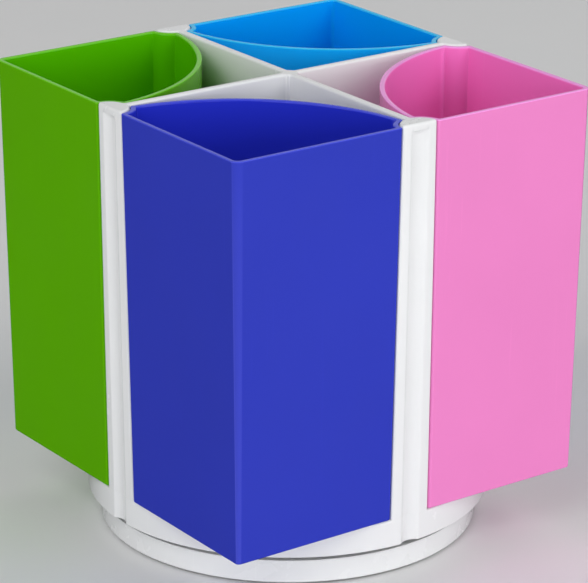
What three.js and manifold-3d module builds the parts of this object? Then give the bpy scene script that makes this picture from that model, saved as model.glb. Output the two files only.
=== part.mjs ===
// Rotating desk organizer: four removable pots around a white four-fin tower on a ball-bearing turntable base.
// Millimetres, +Z up. The origin is the middle of the footprint, on the surface the rubber feet stand on.
// The fins lie along X and Y, so each pot fills one quadrant and the posts stand at the middles of the four sides.
import * as THREE from "three";
import { mergeVertices } from "three/addons/utils/BufferGeometryUtils.js";
import Module from "manifold-3d";

const wasm = await Module();
wasm.setup();

// ---------- driving dimensions ----------
const HALF_SIDE = 70; // axis to the outer wall of a pot, at the rim
const GAP = 0.3; // clearance between pieces that touch

// heights
const BASE_BOTTOM = 0.8;
const BASE_TOP = 9.2;
const DRUM_BOTTOM = 12.2;
const DRUM_TOP = 21;
const POT_BOTTOM = DRUM_TOP + GAP;
const RIM = 154.1;
const TOWER_TOP = 154.5;

// pots
const POT_WALL = 1.8;
const POT_FLOOR = 2;
const POT_CORNER = 3.6; // outer corner at the rim, which gets sharper downwards
const POT_CORNER_FOOT = 0.8;
const POT_ARC = 68.6; // inner wall, centred on the pot's outer corner
const POT_NOTCH = 7; // round recess that clears a post
const FACE_DRAFT = 1.95; // how far the outer walls lean in between rim and pot bottom
const NOTCH_DRAFT = 1.27;
const ARC_DRAFT = 1.3;
const POT_FOOT_CHAMFER = 0.5;
const RIM_ROUND = 0.4;

// tower
const POST_LOBE = POT_NOTCH - GAP; // half-round back of a post
const POST_ROUND = 0.7;
const FIN_TOP = 2.6;
const FIN_ROOT = 3.2;
const COLUMN_TOP = 2.9;
const COLUMN_ROOT = 3.4;
const FLUTE_RADIUS = 5;
const FLUTE_DEPTH = 1.4;
const FLUTE_END = TOWER_TOP - 2.5;
const DRUM_RADIUS = 68.2;
const DRUM_WALL = 2.4;
const DRUM_FLOOR = 2.2;
const BOSS_RADIUS = 5;
const BOSS_BOTTOM = 5.2;
const BOSS_HOLE = 2;
const BOSS_HOLE_TOP = 18;

// ball bearing
const BALLS = 12;
const BALL_RADIUS = 3;
const TRACK_RADIUS = 42;
const BALL_HEIGHT = 14;
const GROOVE_DEPTH = 0.8;
const GROOVE_HALF_WIDTH = 2.1;
const TRACK_HALF_WIDTH = 4.2;
const CAGE_HALF_WIDTH = 5;
const CAGE_THICKNESS = 1.6;

// base
const BASE_RADIUS = 64;
const BASE_WALL = 2.2;
const DECK = 2;
const EDGE_ROUND = 0.9;
const HUB_RADIUS = 10;
const HUB_TOP = 16;
const HUB_BOTTOM = 4.9;
const BORE = BOSS_RADIUS + 0.4;

// feet and pivot
const FEET = 4;
const FOOT_CIRCLE = 54;
const FOOT_RADIUS = 5.5;
const FOOT_HEIGHT = 1.4;
const PAD_RADIUS = 7;
const WASHER_RADIUS = 8;
const WASHER_HEIGHT = 1;
const SCREW_SHANK = BOSS_HOLE - GAP;
const SCREW_HEAD = 4;
const SCREW_HEAD_HEIGHT = 1.8;
const SCREW_TIP = 16.5;

const SEGMENTS = 60;
const QUARTER = Math.PI / 2;

// ---------- solids ----------
function solid(geometry) {
  const bare = geometry.clone();
  bare.deleteAttribute("normal");
  bare.deleteAttribute("uv");
  const merged = mergeVertices(bare, 1e-4);
  return new wasm.Manifold(
    new wasm.Mesh({
      numProp: 3,
      vertProperties: merged.attributes.position.array,
      triVerts: new Uint32Array(merged.index.array),
    }),
  );
}

function geometryOf(manifold) {
  const mesh = manifold.getMesh();
  const geometry = new THREE.BufferGeometry();
  geometry.setAttribute("position", new THREE.BufferAttribute(mesh.vertProperties, 3));
  geometry.setIndex(new THREE.BufferAttribute(mesh.triVerts, 1));
  geometry.computeVertexNormals();
  return geometry;
}

const union = (list) => list.reduce((whole, piece) => whole.add(piece));
const cut = (whole, list) => list.reduce((rest, piece) => rest.subtract(piece), whole);

// Skins a stack of outlines, each { z, points }, all with the same number of points running anticlockwise.
function loft(sections) {
  const count = sections[0].points.length;
  const last = (sections.length - 1) * count;
  const positions = sections.flatMap(({ z, points }) => points.flatMap((p) => [p.x, p.y, z]));
  const index = [];
  for (let ring = 0; ring < last; ring += count) {
    for (let i = 0; i < count; i++) {
      const a = ring + i;
      const b = ring + ((i + 1) % count);
      index.push(a, b, b + count, a, b + count, a + count);
    }
  }
  for (const [a, b, c] of THREE.ShapeUtils.triangulateShape(sections[0].points, [])) {
    index.push(a, c, b);
  }
  for (const [a, b, c] of THREE.ShapeUtils.triangulateShape(sections.at(-1).points, [])) {
    index.push(last + a, last + b, last + c);
  }
  const geometry = new THREE.BufferGeometry();
  geometry.setAttribute("position", new THREE.Float32BufferAttribute(positions, 3));
  geometry.setIndex(index);
  return geometry;
}

// Turns a profile of [radius, height] pairs about the Z axis.
function turned(profile, segments = SEGMENTS) {
  const points = profile.map(([r, z]) => new THREE.Vector2(r, z));
  return new THREE.LatheGeometry(points, segments).rotateX(QUARTER);
}

function arc(cx, cy, radius, from, to, steps) {
  return Array.from({ length: steps + 1 }, (_, i) => {
    const angle = from + ((to - from) * i) / steps;
    return new THREE.Vector2(cx + radius * Math.cos(angle), cy + radius * Math.sin(angle));
  });
}

const placed = (geometry, x, y, z) => geometry.translate(x, y, z);
const turnedTo = (geometry, quarter) => geometry.clone().rotateZ(quarter * QUARTER);

// 0 at the rim, 1 at the bottom of the pots: how much of the draft a height has taken up.
const draftAt = (z) => (RIM - z) / (RIM - POT_BOTTOM);
const faceAt = (z) => HALF_SIDE - FACE_DRAFT * draftAt(z);

// ---------- pots ----------
// Outline of the pot in the +X +Y quadrant at a height, moved inwards by inset.
function potOutline(z, inset) {
  const draft = draftAt(z);
  const face = HALF_SIDE - FACE_DRAFT * draft - inset;
  const notch = POT_NOTCH + NOTCH_DRAFT * draft + inset;
  const inner = POT_ARC - ARC_DRAFT * draft - inset;
  const outerCorner = POT_CORNER - (POT_CORNER - POT_CORNER_FOOT) * draft;
  const corner = Math.max(outerCorner - inset, 0.3);
  const across = (HALF_SIDE ** 2 + notch ** 2 - inner ** 2) / (2 * HALF_SIDE);
  const meet = Math.acos(across / notch); // where notch and inner wall meet, from the notch's centre
  const wall = Math.asin((HALF_SIDE - face) / notch); // where notch and outer wall meet
  const sweep = Math.asin((notch * Math.sin(meet)) / inner);
  return [
    ...arc(face - corner, face - corner, corner, 0, QUARTER, 6),
    ...arc(0, HALF_SIDE, notch, -wall, -meet, 8),
    ...arc(HALF_SIDE, HALF_SIDE, inner, Math.PI + sweep, 3 * QUARTER - sweep, 20).slice(1, -1),
    ...arc(HALF_SIDE, 0, notch, QUARTER + meet, QUARTER + wall, 8),
  ];
}

function potGeometry() {
  const at = (z, inset) => ({ z, points: potOutline(z, inset) });
  const body = loft([
    at(POT_BOTTOM, POT_FOOT_CHAMFER),
    at(POT_BOTTOM + POT_FOOT_CHAMFER, 0),
    at(RIM - RIM_ROUND, 0),
    at(RIM, RIM_ROUND),
  ]);
  const hollow = loft([
    at(POT_BOTTOM + POT_FLOOR, POT_WALL + POT_FOOT_CHAMFER),
    at(POT_BOTTOM + POT_FLOOR + POT_FOOT_CHAMFER, POT_WALL),
    at(RIM - RIM_ROUND, POT_WALL),
    at(RIM + RIM_ROUND, POT_WALL - 2 * RIM_ROUND),
  ]);
  return geometryOf(cut(solid(body), [solid(hollow)]));
}

// ---------- tower ----------
function postOutline(z, inset) {
  const face = faceAt(z) - inset;
  const lobe = POST_LOBE + NOTCH_DRAFT * draftAt(z) - inset;
  const start = QUARTER + Math.asin((HALF_SIDE - face) / lobe);
  return arc(HALF_SIDE, 0, lobe, start, 4 * QUARTER - start, 14);
}

function postSolid() {
  const sections = [
    { z: DRUM_BOTTOM, points: postOutline(DRUM_BOTTOM, 0) },
    { z: TOWER_TOP - POST_ROUND, points: postOutline(TOWER_TOP - POST_ROUND, 0) },
    { z: TOWER_TOP, points: postOutline(TOWER_TOP, POST_ROUND) },
  ];
  return solid(loft(sections));
}

function fluteSolid() {
  const sections = [DRUM_BOTTOM - 1, FLUTE_END].map((z) => ({
    z,
    points: arc(faceAt(z) - FLUTE_DEPTH + FLUTE_RADIUS, 0, FLUTE_RADIUS, 0, 4 * QUARTER, 28).slice(1),
  }));
  return solid(loft(sections));
}

function finSolid() {
  const reach = HALF_SIDE - POST_LOBE / 2;
  const outline = (thickness) => [
    new THREE.Vector2(-reach, -thickness / 2),
    new THREE.Vector2(reach, -thickness / 2),
    new THREE.Vector2(reach, thickness / 2),
    new THREE.Vector2(-reach, thickness / 2),
  ];
  return solid(
    loft([
      { z: DRUM_TOP - 1, points: outline(FIN_ROOT) },
      { z: TOWER_TOP, points: outline(FIN_TOP) },
    ]),
  );
}

// One side of a ball track: a raised ring with a shallow round groove, as profile points from edge to edge.
function trackProfile(level, intoTrack) {
  const groove = arc(TRACK_RADIUS, level, GROOVE_HALF_WIDTH, 0, 2 * QUARTER, 6);
  const squash = (intoTrack * GROOVE_DEPTH) / GROOVE_HALF_WIDTH;
  return [
    [TRACK_RADIUS + TRACK_HALF_WIDTH, level],
    ...groove.map((p) => [p.x, level + (p.y - level) * squash]),
    [TRACK_RADIUS - TRACK_HALF_WIDTH, level],
  ];
}

function drumSolid() {
  const under = DRUM_TOP - DRUM_FLOOR;
  const trackLevel = BALL_HEIGHT + BALL_RADIUS + GAP - GROOVE_DEPTH;
  const skirt = DRUM_RADIUS - DRUM_WALL;
  const profile = [
    [0, BOSS_HOLE_TOP],
    [BOSS_HOLE, BOSS_HOLE_TOP],
    [BOSS_HOLE, BOSS_BOTTOM],
    [BOSS_RADIUS, BOSS_BOTTOM],
    [BOSS_RADIUS, under],
    [TRACK_RADIUS - TRACK_HALF_WIDTH, under],
    ...trackProfile(trackLevel, 1).reverse(),
    [TRACK_RADIUS + TRACK_HALF_WIDTH, under],
    [skirt, under],
    [skirt, DRUM_BOTTOM],
    [DRUM_RADIUS, DRUM_BOTTOM],
    [DRUM_RADIUS, DRUM_TOP - EDGE_ROUND],
    [DRUM_RADIUS - EDGE_ROUND, DRUM_TOP],
    [0, DRUM_TOP],
  ];
  return solid(turned(profile));
}

function towerGeometry() {
  const height = TOWER_TOP - DRUM_TOP + 1;
  const column = new THREE.CylinderGeometry(COLUMN_TOP, COLUMN_ROOT, height, 24).rotateX(QUARTER);
  placed(column, 0, 0, TOWER_TOP - height / 2);
  const quarters = [0, 1, 2, 3];
  const spin = (piece, quarter) => piece.rotate([0, 0, 90 * quarter]);
  const post = postSolid();
  const fin = finSolid();
  const flute = fluteSolid();
  const whole = union([
    drumSolid(),
    solid(column),
    fin,
    spin(fin, 1),
    ...quarters.map((quarter) => spin(post, quarter)),
  ]);
  return geometryOf(
    cut(
      whole,
      quarters.map((quarter) => spin(flute, quarter)),
    ),
  );
}

// ---------- bearing ----------
const aroundTrack = (i) => (i * 2 * Math.PI) / BALLS;

function retainerGeometry() {
  const low = BALL_HEIGHT - CAGE_THICKNESS / 2;
  const high = BALL_HEIGHT + CAGE_THICKNESS / 2;
  const inner = TRACK_RADIUS - CAGE_HALF_WIDTH;
  const outer = TRACK_RADIUS + CAGE_HALF_WIDTH;
  const ring = turned([
    [inner, low],
    [outer, low],
    [outer, high],
    [inner, high],
    [inner, low],
  ]);
  const pocket = new THREE.CylinderGeometry(BALL_RADIUS + GAP, BALL_RADIUS + GAP, 4, 16);
  pocket.rotateX(QUARTER).translate(TRACK_RADIUS, 0, BALL_HEIGHT);
  const pockets = Array.from({ length: BALLS }, (_, i) => solid(pocket.clone().rotateZ(aroundTrack(i))));
  return geometryOf(cut(solid(ring), pockets));
}

function ballGeometry(i) {
  const ball = new THREE.SphereGeometry(BALL_RADIUS, 12, 8).rotateX(QUARTER);
  return placed(ball, TRACK_RADIUS, 0, BALL_HEIGHT).rotateZ(aroundTrack(i));
}

// ---------- base ----------
const footAngle = (i) => QUARTER * (i + 0.5);

function baseGeometry() {
  const inside = BASE_RADIUS - BASE_WALL;
  const deckUnder = BASE_TOP - DECK;
  const trackLevel = BALL_HEIGHT - BALL_RADIUS - GAP + GROOVE_DEPTH;
  const shell = turned([
    [inside, BASE_BOTTOM],
    [BASE_RADIUS, BASE_BOTTOM],
    [BASE_RADIUS, BASE_TOP - EDGE_ROUND],
    [BASE_RADIUS - EDGE_ROUND, BASE_TOP],
    [TRACK_RADIUS + TRACK_HALF_WIDTH, BASE_TOP],
    ...trackProfile(trackLevel, -1),
    [TRACK_RADIUS - TRACK_HALF_WIDTH, BASE_TOP],
    [HUB_RADIUS, BASE_TOP],
    [HUB_RADIUS, HUB_TOP],
    [BORE, HUB_TOP],
    [BORE, HUB_BOTTOM],
    [HUB_RADIUS, HUB_BOTTOM],
    [HUB_RADIUS, deckUnder],
    [inside, deckUnder],
    [inside, BASE_BOTTOM],
  ]);
  const padLow = FOOT_HEIGHT + GAP;
  const padHeight = deckUnder - padLow + 1;
  const pad = new THREE.CylinderGeometry(PAD_RADIUS, PAD_RADIUS, padHeight, 32).rotateX(QUARTER);
  placed(pad, FOOT_CIRCLE, 0, padLow + padHeight / 2);
  const pads = Array.from({ length: FEET }, (_, i) => solid(pad.clone().rotateZ(footAngle(i))));
  return geometryOf(union([solid(shell), ...pads]));
}

function footGeometry(i) {
  const foot = turned(
    [
      [0, 0],
      [FOOT_RADIUS - 0.4, 0],
      [FOOT_RADIUS, 0.4],
      [FOOT_RADIUS, FOOT_HEIGHT],
      [0, FOOT_HEIGHT],
    ],
    32,
  );
  return placed(foot, FOOT_CIRCLE, 0, 0).rotateZ(footAngle(i));
}

// ---------- pivot ----------
function washerGeometry() {
  const high = HUB_BOTTOM - GAP;
  const low = high - WASHER_HEIGHT;
  return turned(
    [
      [BOSS_HOLE, low],
      [WASHER_RADIUS, low],
      [WASHER_RADIUS, high],
      [BOSS_HOLE, high],
      [BOSS_HOLE, low],
    ],
    48,
  );
}

function screwGeometry() {
  const seat = HUB_BOTTOM - WASHER_HEIGHT - 2 * GAP;
  const headLow = seat - SCREW_HEAD_HEIGHT;
  const screw = turned(
    [
      [0, headLow],
      [SCREW_HEAD * 0.6, headLow],
      [SCREW_HEAD, headLow + 1],
      [SCREW_HEAD, seat],
      [SCREW_SHANK, seat],
      [SCREW_SHANK, SCREW_TIP - 2],
      [0, SCREW_TIP],
    ],
    32,
  );
  const slot = new THREE.BoxGeometry(4.2, 0.9, 1.8).translate(0, 0, headLow);
  return geometryOf(cut(solid(screw), [solid(slot), solid(turnedTo(slot, 1))]));
}

// ---------- assembly ----------
const plastic = (color) => ({ color, roughness: 0.22, metalness: 0 });
const WHITE = plastic("#e9ebee");
const STEEL = { color: "#b9bdc2", roughness: 0.25, metalness: 1 };
const RUBBER = { color: "#3a3a3c", roughness: 0.85, metalness: 0 };
const NYLON = { color: "#dcd8cc", roughness: 0.5, metalness: 0 };

const organizer = new THREE.Group();

function addPiece(name, geometry, look) {
  const piece = new THREE.Mesh(geometry, new THREE.MeshStandardMaterial(look));
  piece.name = name;
  organizer.add(piece);
}

addPiece("base", baseGeometry(), WHITE);
for (let i = 0; i < FEET; i++) {
  addPiece("foot_" + (i + 1), footGeometry(i), RUBBER);
}
addPiece("ball_retainer", retainerGeometry(), NYLON);
for (let i = 0; i < BALLS; i++) {
  addPiece("ball_" + String(i + 1).padStart(2, "0"), ballGeometry(i), STEEL);
}
addPiece("tower", towerGeometry(), WHITE);
addPiece("pivot_washer", washerGeometry(), STEEL);
addPiece("pivot_screw", screwGeometry(), STEEL);

const pot = potGeometry();
addPiece("cup_light_blue", turnedTo(pot, 0), plastic("#1a8fe0"));
addPiece("cup_green", turnedTo(pot, 1), plastic("#4f9a08"));
addPiece("cup_dark_blue", turnedTo(pot, 2), plastic("#2f3bb4"));
addPiece("cup_pink", turnedTo(pot, 3), plastic("#ec82c4"));

export default organizer;
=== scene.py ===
"""Desk organizer: a white four-fin tower on a turntable base, with four glossy pots in its corners.

Metres, the CAD frame: +Z up, the tower turns about Z, the fins lie along X and Y.
"""
import math

import bmesh
import bpy
from mathutils import Matrix, Vector


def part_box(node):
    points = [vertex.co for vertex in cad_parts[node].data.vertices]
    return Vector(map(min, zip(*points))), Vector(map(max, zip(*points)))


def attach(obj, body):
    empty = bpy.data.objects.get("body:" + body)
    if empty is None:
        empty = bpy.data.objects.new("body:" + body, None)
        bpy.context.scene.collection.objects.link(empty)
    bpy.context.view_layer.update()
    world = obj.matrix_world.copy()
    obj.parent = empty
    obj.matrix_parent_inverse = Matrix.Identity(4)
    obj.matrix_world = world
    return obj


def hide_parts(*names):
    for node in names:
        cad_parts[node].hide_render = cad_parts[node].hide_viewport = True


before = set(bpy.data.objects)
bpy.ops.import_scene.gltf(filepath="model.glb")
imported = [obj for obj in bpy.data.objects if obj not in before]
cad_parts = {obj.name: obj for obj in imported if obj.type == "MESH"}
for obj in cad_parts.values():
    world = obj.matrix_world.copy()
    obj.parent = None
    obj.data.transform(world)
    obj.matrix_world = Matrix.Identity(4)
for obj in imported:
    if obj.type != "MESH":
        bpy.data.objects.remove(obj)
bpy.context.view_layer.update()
MM = 0.001

# ---------- sizes, from the CAD frame ----------
POT_LOW, POT_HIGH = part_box("cup_light_blue")
TOWER_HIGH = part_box("tower")[1]
BASE_LOW, BASE_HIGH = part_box("base")

HALF_SIDE = TOWER_HIGH.x
RIM = POT_HIGH.z
POT_BOTTOM = POT_LOW.z
TOWER_TOP = TOWER_HIGH.z
GAP = 0.3 * MM
DRUM_TOP = POT_BOTTOM - GAP
DRUM_BOTTOM = DRUM_TOP - 9.4 * MM

POT_WALL = 1.8 * MM
POT_FLOOR = 2 * MM
POT_ARC = 68.6 * MM  # inner wall, centred on the pot's outer corner
CORNER_RIM = 3.6 * MM  # outer corner, which gets sharper downwards
CORNER_FOOT = 1.7 * MM
CORNER_START = math.radians(22)  # the corner leaves one face at a crease
CORNER_END = math.radians(85)
CORNER_STEPS = 12
POT_NOTCH = 7 * MM  # round recess that clears a post
FACE_DRAFT = 1.95 * MM
NOTCH_DRAFT = 1.27 * MM
ARC_DRAFT = 1.3 * MM

POST_LOBE = POT_NOTCH - GAP
FIN_TOP = 2.6 * MM
FIN_ROOT = 3.2 * MM
COLUMN = 2.9 * MM
FLUTE_RADIUS = 5 * MM
FLUTE_DEPTH = 1.4 * MM
FLUTE_END = TOWER_TOP - 2.3 * MM
FLUTE_FADE = 2 * MM
FLUTE_EDGE = 0.9 * MM  # rounding between the flute and the post's face
FLUTE_STEPS = [4.1, 3.9, 3.75, 3.6, 3.45, 3.3, 3.1, 2.9, 2.5, 2, 1.5, 1, 0.5, 0]  # mm from a post's middle
POST_STEPS = [7.8, 7.4, 5.8]  # mm, where a post's sides meet the drum
POST_EDGE = 7.5 * MM
SHELL_EDGE = 0.9 * MM  # rounded top edges of the posts and the drum
DRUM_RADIUS = 68.2 * MM
BASE_RADIUS = BASE_HIGH.x
BASE_TOP = 9.2 * MM
TRACK_RADIUS = 42 * MM
BALL_HEIGHT = 14 * MM
BALL_RADIUS = 3 * MM

AXIS = 0.01 * MM  # radius at which a turned profile closes
FOOT_PLACE = 54 * MM  # feet and their pads, from the axis
BALLS = 12

TAU = 2 * math.pi
QUARTER = math.pi / 2


# ---------- outlines ----------
def arc(cx, cy, radius, start, end, steps):
    points = []
    for i in range(steps + 1):
        angle = start + (end - start) * i / steps
        points.append((cx + radius * math.cos(angle), cy + radius * math.sin(angle)))
    return points


def angle_to(cx, cy, x, y):
    return math.atan2(y - cy, x - cx)


def draft_at(z):
    """0 at the rim, 1 at the bottom of the pots."""
    return (RIM - z) / (RIM - POT_BOTTOM)


def pot_outline(z, inset, corner, lip, crease):
    """Anticlockwise outline of the +X +Y pot at a height, moved inwards by inset.

    corner, lip and crease round the outer corner, the wall's end at a post and the end of the inner wall.
    """
    draft = draft_at(z)
    face = HALF_SIDE - FACE_DRAFT * draft - inset
    notch = POT_NOTCH + NOTCH_DRAFT * draft + inset
    inner = POT_ARC - ARC_DRAFT * draft - inset
    s = HALF_SIDE

    # lip: inside the outer wall, outside the notch circle
    lip_x = face - lip
    lip_y = math.sqrt((notch + lip) ** 2 - (s - lip_x) ** 2)
    lip_turn = angle_to(s, 0, lip_x, lip_y)

    # crease: inside the inner wall's circle, outside the notch circle
    far, near = inner - crease, notch + crease
    down = (s * s + near * near - far * far) / (2 * s)
    crease_x = s - math.sqrt(near * near - down * down)
    crease_turn = angle_to(s, 0, crease_x, down)
    wall_turn = angle_to(s, s, crease_x, down) + TAU

    half = arc(s, s, inner, 5 * QUARTER / 2, wall_turn, 20)
    half += arc(crease_x, down, crease, wall_turn, crease_turn + math.pi, 6)
    half += arc(s, 0, notch, crease_turn, lip_turn, 12)[1:-1]
    half += arc(lip_x, lip_y, lip, lip_turn - math.pi, 0, 6)
    mirrored = [(y, x) for x, y in reversed(half[1:])]
    turn = arc(
        face - corner * math.cos(CORNER_START), face - corner * math.sin(CORNER_END), corner,
        CORNER_START, CORNER_END, CORNER_STEPS,
    )
    return half + turn + mirrored


def tower_outline(z, inset, flute):
    """Anticlockwise outline of the fins, column and posts at a height, moved inwards by inset."""
    draft = draft_at(min(z, RIM))
    face = HALF_SIDE - (HALF_SIDE - DRUM_RADIUS) * draft - inset
    lobe = POST_LOBE + NOTCH_DRAFT * min(draft, 1) - inset
    web = (FIN_TOP + (FIN_ROOT - FIN_TOP) * draft) / 2 - inset
    column = COLUMN - inset
    inside = 0.8 * MM + inset
    edge = max(0.6 * MM - inset, 0.15 * MM)
    s = HALF_SIDE

    # column to fin
    cx = math.sqrt((column + inside) ** 2 - (web + inside) ** 2)
    turn = angle_to(0, 0, cx, web + inside)
    half = arc(0, 0, column, QUARTER / 2, turn, 3)
    half += arc(cx, web + inside, inside, turn - math.pi, -QUARTER, 4)
    # fin to the post's round back
    bx = s - math.sqrt((lobe + inside) ** 2 - (web + inside) ** 2)
    turn = angle_to(s, 0, bx, web + inside)
    half += arc(bx, web + inside, inside, -QUARTER, turn - math.pi, 4)
    # round back to the outer face, which is part of a circle about Z
    reach = face - edge
    ex = (reach * reach + s * s - (lobe - edge) ** 2) / (2 * s)
    ey = math.sqrt(max(reach * reach - ex * ex, 0))
    end = angle_to(s, 0, ex, ey)
    half += arc(s, 0, lobe, turn, end, 12)[1:]
    out = angle_to(0, 0, ex, ey)
    half += arc(ex, ey, edge, end, out, 5)[1:]
    half += face_line(face, out, flute)
    arm = [(x, -y) for x, y in half[1:]] + [(x, y) for x, y in reversed(half[1:-1])]
    ring = []
    for quarter in range(4):
        c, n = (1, 0, -1, 0)[quarter], (0, 1, 0, -1)[quarter]
        ring += [(x * c - y * n, x * n + y * c) for x, y in arm]
    return ring


def flute_dip(y):
    """How deep the flute is at a distance y from the middle of a post."""
    middle = FLUTE_RADIUS - FLUTE_DEPTH
    outer = math.sqrt((FLUTE_RADIUS + FLUTE_EDGE) ** 2 - (middle + FLUTE_EDGE) ** 2)
    inner = outer * FLUTE_RADIUS / (FLUTE_RADIUS + FLUTE_EDGE)
    y = abs(y)
    if y >= outer:
        return 0.0
    if y <= inner:
        return math.sqrt(FLUTE_RADIUS**2 - y * y) - middle
    return FLUTE_EDGE - math.sqrt(max(FLUTE_EDGE * FLUTE_EDGE - (outer - y) ** 2, 0))


def face_line(face, start, flute):
    """Half of a post's outer face, from its edge to the middle, with the flute sunk into it."""
    points = [(face * math.cos(start * k), face * math.sin(start * k)) for k in (0.93, 0.8, 0.7)]
    for step in FLUTE_STEPS:
        y = step * MM
        points.append((math.sqrt(face * face - y * y) - flute * flute_dip(y), y))
    return points


# ---------- meshes ----------
def new_object(name, vertices, faces):
    mesh = bpy.data.meshes.new(name)
    mesh.from_pydata(vertices, [], faces)
    mesh.validate()
    mesh.shade_smooth()
    obj = bpy.data.objects.new(name, mesh)
    bpy.context.scene.collection.objects.link(obj)
    return obj


def skin(rings, offset=0, cap_start=True, cap_end=True):
    """Quads between rings of equal length; the rings run anticlockwise seen from the last one's side."""
    count = len(rings[0])
    faces = []
    for k in range(len(rings) - 1):
        a, b = offset + k * count, offset + (k + 1) * count
        for i in range(count):
            j = (i + 1) % count
            faces.append((a + i, a + j, b + j, b + i))
    if cap_start:
        faces.append(tuple(offset + i for i in reversed(range(count))))
    if cap_end:
        last = offset + (len(rings) - 1) * count
        faces.append(tuple(last + i for i in range(count)))
    vertices = [v for ring in rings for v in ring]
    return vertices, faces


def at_height(outline, z):
    return [(x, y, z) for x, y in outline]


def rounded(radius, steps):
    """(inset, rise) pairs on a quarter circle, both from 0 to radius."""
    pairs = []
    for i in range(steps + 1):
        t = QUARTER * i / steps
        pairs.append((radius * (1 - math.cos(t)), radius * math.sin(t)))
    return pairs


def turned(name, profile, segments=128, dips=None):
    """Turns a closed profile of (radius, z) about Z. dips(angle, index) takes something off a radius."""
    rings = []
    for k, (radius, z) in enumerate(profile):
        ring = []
        for angle in spread(segments, dips is not None):
            r = radius - (dips(angle, k) if dips else 0)
            ring.append((r * math.cos(angle), r * math.sin(angle), z))
        rings.append(ring)
    vertices, faces = skin(rings + [rings[0]], cap_start=False, cap_end=False)
    count = len(rings[0])
    vertices = vertices[: len(rings) * count]
    total = len(vertices)
    faces = [tuple(v % total for v in face) for face in faces]
    return new_object(name, vertices, faces)


def put_round(obj, radius, angle):
    """Moves a piece from the axis to a radius and angle."""
    obj.data.transform(Matrix.Translation((radius * math.cos(angle), radius * math.sin(angle), 0)))


def spread(segments, fine):
    """Angles round a circle, with extra ones across the four flutes."""
    angles = {round(i * TAU / segments, 6) for i in range(segments)}
    if fine:
        for quarter in range(4):
            for step in POST_STEPS + FLUTE_STEPS:
                for side in (-1, 1):
                    angle = quarter * QUARTER + side * step * MM / DRUM_RADIUS
                    angles.add(round(angle % TAU, 6))
    return sorted(angles)


def finish_piece(obj, body, nodes, material, bevel=0.0):
    if bevel:
        modifier = obj.modifiers.new("edges", "BEVEL")
        modifier.width = bevel
        modifier.segments = 3
        modifier.limit_method = "ANGLE"
        modifier.angle_limit = math.radians(40)
    weighted = obj.modifiers.new("normals", "WEIGHTED_NORMAL")
    weighted.keep_sharp = True
    obj.data.materials.clear()
    obj.data.materials.append(material)
    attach(obj, body)
    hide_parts(*nodes)
    return obj


# ---------- materials ----------
PAINTED_BOUNCE_MASK = "inside"  # point attribute, 1 on a pot's inner surface, which gets painted bounce light
PAINTED_CORNER_HIGHLIGHT = "corner_highlight"  # point attribute, above 0 along a pot's outer corner, where a highlight is painted


class Nodes:
    """A little help to wire a material's nodes."""

    def __init__(self, name):
        self.material = bpy.data.materials.new(name)
        self.material.use_nodes = True
        self.tree = self.material.node_tree
        self.shader = self.tree.nodes["Principled BSDF"]
        self.place = self.add("ShaderNodeTexCoord").outputs["Object"]

    def add(self, kind, **settings):
        node = self.tree.nodes.new(kind)
        for key, value in settings.items():
            setattr(node, key, value)
        return node

    def link(self, a, b):
        self.tree.links.new(a, b)

    def noise(self, scale, detail=3.0, roughness=0.5, stretch=None):
        node = self.add("ShaderNodeTexNoise")
        node.inputs["Scale"].default_value = scale
        node.inputs["Detail"].default_value = detail
        node.inputs["Roughness"].default_value = roughness
        source = self.place
        if stretch:
            mapping = self.add("ShaderNodeMapping")
            mapping.inputs["Scale"].default_value = stretch
            self.link(source, mapping.inputs["Vector"])
            source = mapping.outputs["Vector"]
        self.link(source, node.inputs["Vector"])
        return node.outputs["Fac"]

    def remap(self, value, low, high, from_low=0.3, from_high=0.7):
        node = self.add("ShaderNodeMapRange")
        node.inputs["From Min"].default_value = from_low
        node.inputs["From Max"].default_value = from_high
        node.inputs["To Min"].default_value = low
        node.inputs["To Max"].default_value = high
        self.link(value, node.inputs["Value"])
        return node.outputs["Result"]

    def blend(self, factor, first, second, most=1.0):
        node = self.add("ShaderNodeMix", data_type="RGBA")
        if most < 1:
            factor = self.remap(factor, 0, most, 0, 1)
        self.link(factor, node.inputs["Factor"])
        for socket, colour in ((node.inputs[6], first), (node.inputs[7], second)):
            if isinstance(colour, tuple):
                socket.default_value = (*colour, 1)
            else:
                self.link(colour, socket)
        return node.outputs[2]

    def bump(self, height, strength, distance, normal=None):
        node = self.add("ShaderNodeBump")
        node.inputs["Strength"].default_value = strength
        node.inputs["Distance"].default_value = distance
        self.link(height, node.inputs["Height"])
        if normal:
            self.link(normal, node.inputs["Normal"])
        return node.outputs["Normal"]


def shade(colour, factor):
    return tuple(min(c * factor, 1.0) for c in colour)


def paler(colour, factor, white):
    return tuple(min(c * factor + white, 1) for c in colour)


def painted_bounce_colour(colour):
    """Painted bounce light: a pot's colour made brighter and more saturated for its inner surface, standing
    in for light that has passed through the plastic and bounced between its walls several times.
    """
    most = max(colour)
    return tuple(min(1.2 * most * (c / most) ** 1.25, 1.0) for c in colour)


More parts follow.
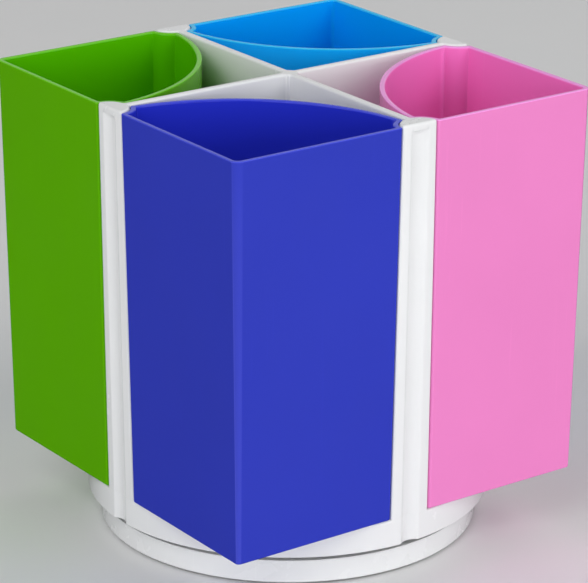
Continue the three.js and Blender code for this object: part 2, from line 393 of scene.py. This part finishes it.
def glossy_plastic(name, colour, roughness, specular, edge=None):
    """Moulded plastic: faint clouds and upright streaks in the colour, smudged gloss, slight orange peel.

    A pot gives an edge height. Its inner surface has painted bounce light in a richer colour; its outer
    corner has a painted highlight, and above that height it has a painted rim highlight, both paler.
    """
    n = Nodes(name)
    cloud = n.remap(n.noise(18, 2), 0, 1)
    tone = n.blend(cloud, shade(colour, 0.98), shade(colour, 1.02))
    streaks = n.remap(n.noise(1, 4, 0.7, (700, 700, 9)), 0, 1, 0.62, 0.72)
    if edge:
        # painted bounce light: the inner surface takes a brighter, more saturated colour
        inside = n.add("ShaderNodeAttribute", attribute_name=PAINTED_BOUNCE_MASK)
        tone = n.blend(inside.outputs["Fac"], tone, painted_bounce_colour(colour))
        # painted highlight along the outer corner: a paler, whiter colour
        corner = n.add("ShaderNodeAttribute", attribute_name=PAINTED_CORNER_HIGHLIGHT)
        tone = n.blend(corner.outputs["Fac"], tone, paler(colour, 1.2, 0.05))
        # painted rim highlight: the colour turns paler and whiter over 0.3 mm above the edge height
        height = n.add("ShaderNodeSeparateXYZ")
        n.link(n.place, height.inputs["Vector"])
        painted_rim_highlight = n.remap(height.outputs["Z"], 0, 1, edge, edge + 0.3 * MM)
        tone = n.blend(painted_rim_highlight, tone, paler(colour, 1.4, 0.015))
    n.link(n.blend(streaks, tone, shade(colour, 1.15), 0.25), n.shader.inputs["Base Color"])
    smudge = n.noise(55, 4, 0.6)
    n.link(n.remap(smudge, roughness * 0.8, roughness * 1.25), n.shader.inputs["Roughness"])
    wave = n.bump(n.noise(35, 1), 0.06, 0.4 * MM)
    peel = n.bump(n.noise(900, 2), 0.05, 0.05 * MM, wave)
    n.link(peel, n.shader.inputs["Normal"])
    n.shader.inputs["Specular IOR Level"].default_value = specular
    return n.material


def metal(name, colour, roughness, grain):
    n = Nodes(name)
    cloud = n.remap(n.noise(120, 3), 0, 1)
    n.link(n.blend(cloud, shade(colour, 0.9), shade(colour, 1.08)), n.shader.inputs["Base Color"])
    n.link(n.remap(n.noise(grain, 4), roughness * 0.7, roughness * 1.4), n.shader.inputs["Roughness"])
    n.link(n.bump(n.noise(grain * 2, 3), 0.08, 0.03 * MM), n.shader.inputs["Normal"])
    n.shader.inputs["Metallic"].default_value = 1
    return n.material


def dull(name, colour, roughness, grain, strength):
    n = Nodes(name)
    cloud = n.remap(n.noise(60, 4), 0, 1)
    n.link(n.blend(cloud, shade(colour, 0.85), shade(colour, 1.15)), n.shader.inputs["Base Color"])
    n.link(n.remap(n.noise(grain / 3, 3), roughness * 0.9, roughness * 1.1), n.shader.inputs["Roughness"])
    n.link(n.bump(n.noise(grain, 5), strength, 0.1 * MM), n.shader.inputs["Normal"])
    return n.material


WHITE = glossy_plastic("white_plastic", (0.88, 0.89, 0.9), 0.22, 0.4)
BASE_WHITE = glossy_plastic("base_plastic", (0.89, 0.9, 0.91), 0.25, 0.4)
STEEL = metal("bearing_steel", (0.62, 0.63, 0.65), 0.12, 400)
ZINC = metal("zinc_steel", (0.55, 0.56, 0.58), 0.35, 900)
NYLON = dull("retainer_nylon", (0.70, 0.67, 0.58), 0.5, 700, 0.15)
RUBBER = dull("foot_rubber", (0.04, 0.04, 0.045), 0.85, 1200, 0.4)
POT_COLOURS = {
    "light_blue": (0.003, 0.40, 1.0),
    "green": (0.11, 0.435, 0.0),
    "dark_blue": (0.034, 0.05, 0.51),
    "pink": (0.88, 0.25, 0.6),
}


# ---------- pots ----------
def pot_rings():
    """Rings from the middle of the underside, up the outside, over the rim and down to the inner floor."""
    lip, crease = 0.9 * MM, 1.0 * MM
    rings = []
    least = 0.15 * MM

    def corner_at(z):
        return CORNER_RIM + (CORNER_FOOT - CORNER_RIM) * draft_at(z)

    def outside(z, inset):
        radii = (corner_at(z) - inset, lip - inset, crease - inset)
        rings.append(at_height(pot_outline(z, inset, *(max(r, least) for r in radii)), z))

    def inside(z, inset):
        spare = POT_WALL - inset
        radii = (corner_at(z) - inset, 0.6 * MM + spare, 0.5 * MM + spare)
        rings.append(at_height(pot_outline(z, inset, *(max(r, 2 * least) for r in radii)), z))

    def underside(z, inset):
        rings.append(at_height(pot_outline(z, inset, 1.4 * MM, 0.4 * MM, 0.4 * MM), z))

    recess = 0.6 * MM
    underside(POT_BOTTOM + recess, 4.2 * MM)
    underside(POT_BOTTOM + recess, 3.6 * MM)
    underside(POT_BOTTOM + 0.1 * MM, 3.2 * MM)
    underside(POT_BOTTOM, 3.0 * MM)
    foot = 0.5 * MM
    for inset, rise in reversed(rounded(foot, 5)):
        outside(POT_BOTTOM + foot - rise, inset)
    for k in range(1, 6):
        outside(POT_BOTTOM + foot + (RIM - POT_BOTTOM - foot) * k / 6, 0)
    lip_round, mouth_round = 0.3 * MM, 0.7 * MM
    for inset, rise in rounded(lip_round, 4):
        outside(RIM - lip_round + rise, inset)
    first_inner = len(rings)
    for inset, rise in reversed(rounded(mouth_round, 6)):
        inside(RIM - mouth_round + rise, POT_WALL - inset)
    heel = 1.6 * MM
    floor = POT_BOTTOM + POT_FLOOR
    for k in range(1, 6):
        inside(RIM - mouth_round - (RIM - mouth_round - floor - heel) * k / 5.5, POT_WALL)
    for inset, rise in rounded(heel, 6):
        inside(floor + heel - rise, POT_WALL + inset)
    return rings, first_inner


def corner_highlight_at(i, count, z):
    """Painted highlight: a pale line where the corner starts, and a fainter band round it, both stronger
    downwards.
    """
    along = i % count - (count - CORNER_STEPS) // 2
    if not 0 < along < CORNER_STEPS:
        return 0.0
    strength = 0.15 + 0.85 * draft_at(z) ** 0.6
    return (0.9 if along == 1 else 0.35) * strength


def make_pot(colour, quarter):
    rings, first_inner = pot_rings()
    vertices, faces = skin(rings)
    turn = Matrix.Rotation(quarter * QUARTER, 4, "Z")
    vertices = [turn @ Vector(v) for v in vertices]
    obj = new_object("pot_" + colour, vertices, faces)
    # marks the inner surface for the painted bounce light
    inside = obj.data.attributes.new(PAINTED_BOUNCE_MASK, "FLOAT", "POINT")
    inner_start = first_inner * len(rings[0])
    inside.data.foreach_set("value", [float(i >= inner_start) for i in range(len(vertices))])
    # painted corner highlight, on the outer surface only
    corner_highlight = obj.data.attributes.new(PAINTED_CORNER_HIGHLIGHT, "FLOAT", "POINT")
    corner_highlights = [corner_highlight_at(i, len(rings[0]), v.z) if i < inner_start else 0.0 for i, v in enumerate(vertices)]
    corner_highlight.data.foreach_set("value", corner_highlights)
    # the painted rim highlight starts 0.45 mm under the rim
    material = glossy_plastic("pot_" + colour, POT_COLOURS[colour], 0.17, 0.2, RIM - 0.45 * MM)
    return finish_piece(obj, "pot_" + colour, ["cup_" + colour], material)


for quarter, colour in enumerate(("light_blue", "green", "dark_blue", "pink")):
    make_pot(colour, quarter)


# ---------- tower ----------
def tower_rings():
    rings = []

    def level(z, inset=0.0, flute=1.0):
        rings.append(at_height(tower_outline(z, inset, flute), z))

    level(DRUM_TOP - 1.5 * MM, 0.3 * MM)
    level(DRUM_TOP - 0.01 * MM, 0.3 * MM)
    for k in range(13):
        level(DRUM_TOP + (FLUTE_END - FLUTE_FADE - DRUM_TOP) * k / 12)
    for k in range(1, 9):
        t = k / 8
        level(FLUTE_END - FLUTE_FADE + FLUTE_FADE * math.sin(t * QUARTER), 0, math.cos(t * QUARTER))
    for inset, rise in rounded(SHELL_EDGE, 6):
        level(TOWER_TOP - SHELL_EDGE + rise, inset, 0)
    return rings


def drum_profile():
    under = DRUM_TOP - 2.2 * MM
    skirt = DRUM_RADIUS - 2.4 * MM
    track = BALL_HEIGHT + BALL_RADIUS - 0.5 * MM
    points = [(AXIS, 18 * MM), (2 * MM, 18 * MM), (2 * MM, 5.2 * MM), (4.6 * MM, 5.2 * MM)]
    points += [(5 * MM, 5.6 * MM), (5 * MM, under - 1 * MM), (6 * MM, under)]
    points += [(TRACK_RADIUS - 4.2 * MM, under), (TRACK_RADIUS - 4.2 * MM, track)]
    for i in range(9):
        t = math.pi * (1 - i / 8)
        points.append((TRACK_RADIUS + 2.1 * MM * math.cos(t), track + 0.8 * MM * math.sin(t)))
    points += [(TRACK_RADIUS + 4.2 * MM, track), (TRACK_RADIUS + 4.2 * MM, under)]
    points += [(skirt - 1 * MM, under), (skirt, under - 1 * MM)]
    points += [(skirt, DRUM_BOTTOM + 0.2 * MM), (skirt + 0.2 * MM, DRUM_BOTTOM)]
    fluted = len(points)
    points += [(DRUM_RADIUS - 0.25 * MM, DRUM_BOTTOM), (DRUM_RADIUS, DRUM_BOTTOM + 0.25 * MM)]
    for inset, rise in rounded(SHELL_EDGE, 5):
        points.append((DRUM_RADIUS - inset, DRUM_TOP - SHELL_EDGE + rise))
    points += [(60 * MM, DRUM_TOP), (20 * MM, DRUM_TOP), (AXIS, DRUM_TOP)]
    return points, fluted


def make_tower():
    profile, fluted = drum_profile()

    def dips(angle, k):
        if k < fluted or profile[k][0] < DRUM_RADIUS - 1 * MM:
            return 0.0
        from_middle = (angle + QUARTER / 2) % QUARTER - QUARTER / 2
        y = DRUM_RADIUS * math.sin(from_middle)
        under_post = abs(y) < POST_EDGE and profile[k][1] > DRUM_BOTTOM + 1 * MM
        edge_cut = DRUM_RADIUS - profile[k][0] if under_post else 0
        return flute_dip(y) - edge_cut

    drum = turned("drum", profile, 180, dips)
    vertices, faces = skin(tower_rings())
    tower = new_object("tower_body", vertices, faces)
    joined = join([tower, drum])
    return finish_piece(joined, "tower", ["tower"], WHITE)


def join(objects):
    bpy.ops.object.select_all(action="DESELECT")
    for obj in objects:
        obj.select_set(True)
    bpy.context.view_layer.objects.active = objects[0]
    bpy.ops.object.join()
    return objects[0]


make_tower()


# ---------- base ----------
def make_base():
    outer, inner = BASE_RADIUS, BASE_RADIUS - 2.2 * MM
    low, deck = BASE_LOW.z, BASE_TOP - 2 * MM
    track = BALL_HEIGHT - BALL_RADIUS + 0.5 * MM
    points = [(inner, deck - 0.8 * MM), (inner + 0.2 * MM, low + 0.3 * MM), (inner + 0.5 * MM, low)]
    points += [(outer - 0.5 * MM, low), (outer - 0.12 * MM, low + 0.15 * MM), (outer, low + 0.5 * MM)]
    edge = 1.1 * MM
    for inset, rise in rounded(edge, 6):
        points.append((outer - inset, BASE_TOP - edge + rise))
    groove = BASE_TOP - 1.3 * MM
    for inset, rise in rounded(1 * MM, 5)[::-1]:
        points.append((64 * MM + inset, groove + 0.3 * MM + rise))
    points += [(63.8 * MM, groove)]
    points += [(54 * MM, groove), (53 * MM, BASE_TOP)]
    points += [(TRACK_RADIUS + 4.2 * MM, BASE_TOP), (TRACK_RADIUS + 4.2 * MM, track)]
    for i in range(9):
        t = math.pi * i / 8
        points.append((TRACK_RADIUS + 2.1 * MM * math.cos(t), track - 0.8 * MM * math.sin(t)))
    points += [(TRACK_RADIUS - 4.2 * MM, track), (TRACK_RADIUS - 4.2 * MM, BASE_TOP)]
    points += [(11 * MM, BASE_TOP), (10 * MM, BASE_TOP + 1 * MM), (10 * MM, 15.6 * MM), (9.6 * MM, 16 * MM)]
    points += [(5.8 * MM, 16 * MM), (5.4 * MM, 15.6 * MM), (5.4 * MM, 5.2 * MM), (5.7 * MM, 4.9 * MM)]
    points += [(9.7 * MM, 4.9 * MM), (10 * MM, 5.2 * MM), (10 * MM, deck - 0.6 * MM), (10.6 * MM, deck)]
    points += [(inner - 0.8 * MM, deck)]
    shell = turned("base_shell", points, 180)
    profile = [(AXIS, deck + 0.5 * MM), (AXIS, 1.7 * MM), (6.6 * MM, 1.7 * MM), (7 * MM, 2.1 * MM)]
    profile += [(7 * MM, deck - 0.6 * MM), (7.8 * MM, deck + 0.1 * MM), (7.8 * MM, deck + 0.5 * MM)]
    pads = []
    for i in range(4):
        pad = turned("pad", profile, 48)
        put_round(pad, FOOT_PLACE, QUARTER * (i + 0.5))
        pads.append(pad)
    return finish_piece(join([shell] + pads), "base", ["base"], BASE_WHITE)


def make_foot(i):
    profile = [(AXIS, 0.25 * MM), (2.8 * MM, 0.2 * MM), (3.6 * MM, 0), (4.9 * MM, 0), (5.3 * MM, 0.15 * MM)]
    profile += [(5.5 * MM, 0.5 * MM), (5.5 * MM, 1.2 * MM), (5.3 * MM, 1.4 * MM), (AXIS, 1.4 * MM)]
    foot = turned("rubber_foot_" + str(i + 1), profile, 48)
    put_round(foot, FOOT_PLACE, QUARTER * (i + 0.5))
    return finish_piece(foot, "base", ["foot_" + str(i + 1)], RUBBER)


make_base()
for i in range(4):
    make_foot(i)


# ---------- pivot ----------
def make_washer():
    profile = [(2 * MM, 3.75 * MM), (2.15 * MM, 3.6 * MM), (7.8 * MM, 3.6 * MM), (8 * MM, 3.8 * MM)]
    profile += [(8 * MM, 4.4 * MM), (7.8 * MM, 4.6 * MM), (2.15 * MM, 4.6 * MM), (2 * MM, 4.45 * MM)]
    washer = turned("washer", profile, 96)
    return finish_piece(washer, "base", ["pivot_washer"], ZINC)


def make_screw():
    """Pan head with a cross recess, and a shank with real threads."""
    head_low, seat, tip = 1.5 * MM, 3.3 * MM, 16.5 * MM
    steps = 96
    rings = []

    def ring(radius, z, recess=0.0):
        points = []
        for i in range(steps):
            angle = i * TAU / steps
            near = (angle + QUARTER / 2) % QUARTER - QUARTER / 2
            arm = radius * abs(math.sin(near)) < 0.45 * MM
            points.append((radius * math.cos(angle), radius * math.sin(angle), z + (recess if arm else 0)))
        return points

    crown = ((0.01, 1.1), (0.7, 1.1), (1.2, 1.0), (1.7, 0.9), (2.0, 0.75), (2.2, 0.0), (2.6, 0))
    for radius, recess in crown:
        dome = head_low + 0.05 * MM * radius**2 / 2.6
        rings.append(ring(radius * MM, dome, recess * MM))
    for radius, z in ((3.3, 1.85), (3.75, 2.25), (4.0, 2.8), (4.0, 3.15), (3.85, 3.3), (1.7, 3.3)):
        rings.append(ring(radius * MM, z * MM))
    rings = [list(reversed(r)) for r in rings]
    rings.reverse()
    vertices, faces = skin(rings)
    head = new_object("screw", vertices, faces)
    thread = thread_mesh(seat - 0.1 * MM, tip)
    return finish_piece(join([head, thread]), "base", ["pivot_screw"], ZINC)


def thread_mesh(low, high):
    pitch, core, crest = 1.4 * MM, 1.25 * MM, 1.68 * MM
    around = 24
    rows = int((high - low) / pitch * 8)
    rings = []
    for k in range(rows + 1):
        z = low + (high - low) * k / rows
        ring = []
        for i in range(around):
            angle = i * TAU / around
            phase = ((z - low) / pitch - i / around) % 1.0
            ridge = max(0.0, 1 - abs(phase - 0.5) * 4)
            taper = min(1.0, (high - z) / (2.2 * MM)) if z < high else 0.02
            radius = max((core + (crest - core) * ridge) * max(taper, 0.05), 0.05 * MM)
            ring.append((radius * math.cos(angle), radius * math.sin(angle), z))
        rings.append(ring)
    vertices, faces = skin(rings)
    return new_object("thread", vertices, faces)


make_washer()
make_screw()


# ---------- bearing ----------
def make_ball(i):
    profile = []
    for k in range(17):
        t = -QUARTER + math.pi * k / 16
        radius = max(BALL_RADIUS * math.cos(t), 0.005 * MM)
        profile.append((radius, BALL_HEIGHT + BALL_RADIUS * math.sin(t)))
    ball = turned("bearing_ball_%02d" % (i + 1), profile, 32)
    put_round(ball, TRACK_RADIUS, i * TAU / BALLS)
    return finish_piece(ball, "ball_set", ["ball_%02d" % (i + 1)], STEEL)


def make_retainer():
    """Flat ring with a hole for each ball."""
    low, high = BALL_HEIGHT - 0.8 * MM, BALL_HEIGHT + 0.8 * MM
    inner, outer = TRACK_RADIUS - 5 * MM, TRACK_RADIUS + 5 * MM
    hole = BALL_RADIUS + GAP
    span = TAU / BALLS
    across = 16
    vertices, faces = [], []
    for i in range(BALLS):
        middle = (TRACK_RADIUS * math.cos(i * span), TRACK_RADIUS * math.sin(i * span))
        rim, edge = [], []
        for k in range(4 * across):
            side, t = divmod(k, across)
            t = t / across
            a0, a1 = -span / 2, span / 2
            radius, angle = (
                (outer, a0 + (a1 - a0) * t),
                (outer + (inner - outer) * t, a1),
                (inner, a1 + (a0 - a1) * t),
                (inner + (outer - inner) * t, a0),
            )[side]
            point = Vector((radius * math.cos(angle + i * span), radius * math.sin(angle + i * span)))
            away = (point - Vector(middle)).normalized() * hole
            rim.append(point)
            edge.append(Vector(middle) + away)
        start = len(vertices)
        for ring, z in ((edge, low), (rim, low), (rim, high), (edge, high)):
            vertices += [(p.x, p.y, z) for p in ring]
        count = len(rim)
        for k in range(count):
            j = (k + 1) % count
            outside = k // across in (0, 2)
            for a, b in ((0, 1), (2, 3), (3, 0)) + (((1, 2),) if outside else ()):
                first, second = start + a * count, start + b * count
                faces.append((first + k, second + k, second + j, first + j))
    obj = new_object("retainer", vertices, faces)
    merge(obj)
    return finish_piece(obj, "ball_set", ["ball_retainer"], NYLON, 0.15 * MM)


def merge(obj):
    mesh = bmesh.new()
    mesh.from_mesh(obj.data)
    bmesh.ops.remove_doubles(mesh, verts=mesh.verts, dist=0.001 * MM)
    bmesh.ops.recalc_face_normals(mesh, faces=mesh.faces)
    mesh.to_mesh(obj.data)
    mesh.free()


for i in range(BALLS):
    make_ball(i)
make_retainer()


# ---------- stage, light and camera ----------
FLOOR_HALF = 3.0
LIGHT_DISTANCE = 2.5
LIT_POINT = Vector((0, 0, 0.08))
CAMERA_AZIMUTH, CAMERA_ELEVATION, CAMERA_ROLL = (math.radians(a) for a in (-35.694, 19.703, 0.217))
CAMERA_DISTANCE = 1022.518 * MM
CAMERA_AIM = Vector((0, 0, RIM - HALF_SIDE))
SENSOR = 36
LENS = 186.98388
SHIFT_X, SHIFT_Y = 0.0091837, -0.0287755


def make_floor():
    n = Nodes("pale_floor")
    cloud = n.remap(n.noise(6, 2), 0, 1)
    n.link(n.blend(cloud, (0.82, 0.825, 0.83), (0.84, 0.84, 0.84)), n.shader.inputs["Base Color"])
    n.link(n.remap(n.noise(40, 3), 0.55, 0.65), n.shader.inputs["Roughness"])
    corners = [(x * FLOOR_HALF, y * FLOOR_HALF, 0) for x, y in ((-1, -1), (1, -1), (1, 1), (-1, 1))]
    floor = new_object("floor", corners, [(0, 1, 2, 3)])
    floor.data.materials.append(n.material)
    floor.visible_glossy = False  # keeps a white veil off the pots' faces


def direction(azimuth, elevation):
    """Unit vector towards an azimuth (0 is -Y, 90 is +X) and elevation, in radians."""
    flat = math.cos(elevation)
    return Vector((math.sin(azimuth) * flat, -math.cos(azimuth) * flat, math.sin(elevation)))


def make_light(name, azimuth, elevation, size, watts):
    """A white soft box that faces the organizer from an azimuth and elevation in degrees."""
    data = bpy.data.lights.new(name, "AREA")
    data.shape = "RECTANGLE"
    data.size, data.size_y = size
    data.energy = watts
    lamp = bpy.data.objects.new(name, data)
    toward = direction(math.radians(azimuth), math.radians(elevation))
    lamp.location = LIT_POINT + toward * LIGHT_DISTANCE
    lamp.rotation_euler = toward.to_track_quat("Z", "Y").to_euler()
    bpy.context.scene.collection.objects.link(lamp)


def make_world(colour, strength):
    world = bpy.data.worlds.new("studio")
    world.use_nodes = True
    background = world.node_tree.nodes["Background"]
    background.inputs["Color"].default_value = (*colour, 1)
    background.inputs["Strength"].default_value = strength
    bpy.context.scene.world = world


def make_camera():
    toward = direction(CAMERA_AZIMUTH, CAMERA_ELEVATION)
    data = bpy.data.cameras.new("camera")
    data.sensor_width = SENSOR
    data.lens = LENS
    data.shift_x, data.shift_y = SHIFT_X, SHIFT_Y
    data.clip_start, data.clip_end = 0.05, 20
    camera = bpy.data.objects.new("camera", data)
    camera.location = CAMERA_AIM + toward * CAMERA_DISTANCE
    turn = toward.to_track_quat("Z", "Y").to_matrix() @ Matrix.Rotation(CAMERA_ROLL, 3, "Z")
    camera.rotation_euler = turn.to_euler()
    bpy.context.scene.collection.objects.link(camera)
    bpy.context.scene.camera = camera


make_floor()
make_light("key", 26, 40, (2.0, 1.6), 21)
make_light("low_front", -4, 9, (2.6, 0.8), 26)
make_light("left", -74, 40, (2.0, 1.6), 23)
make_light("low_left", -72, 9, (2.0, 0.8), 10)
make_light("backdrop", 144, 18, (3.0, 1.4), 8)
make_light("back_left", -150, 42, (2.0, 1.6), 9)
make_light("back_right", 115, 48, (2.0, 1.6), 9)
make_world((1, 1, 1), 0.02)
make_camera()
bpy.context.scene.view_settings.view_transform = "Standard"
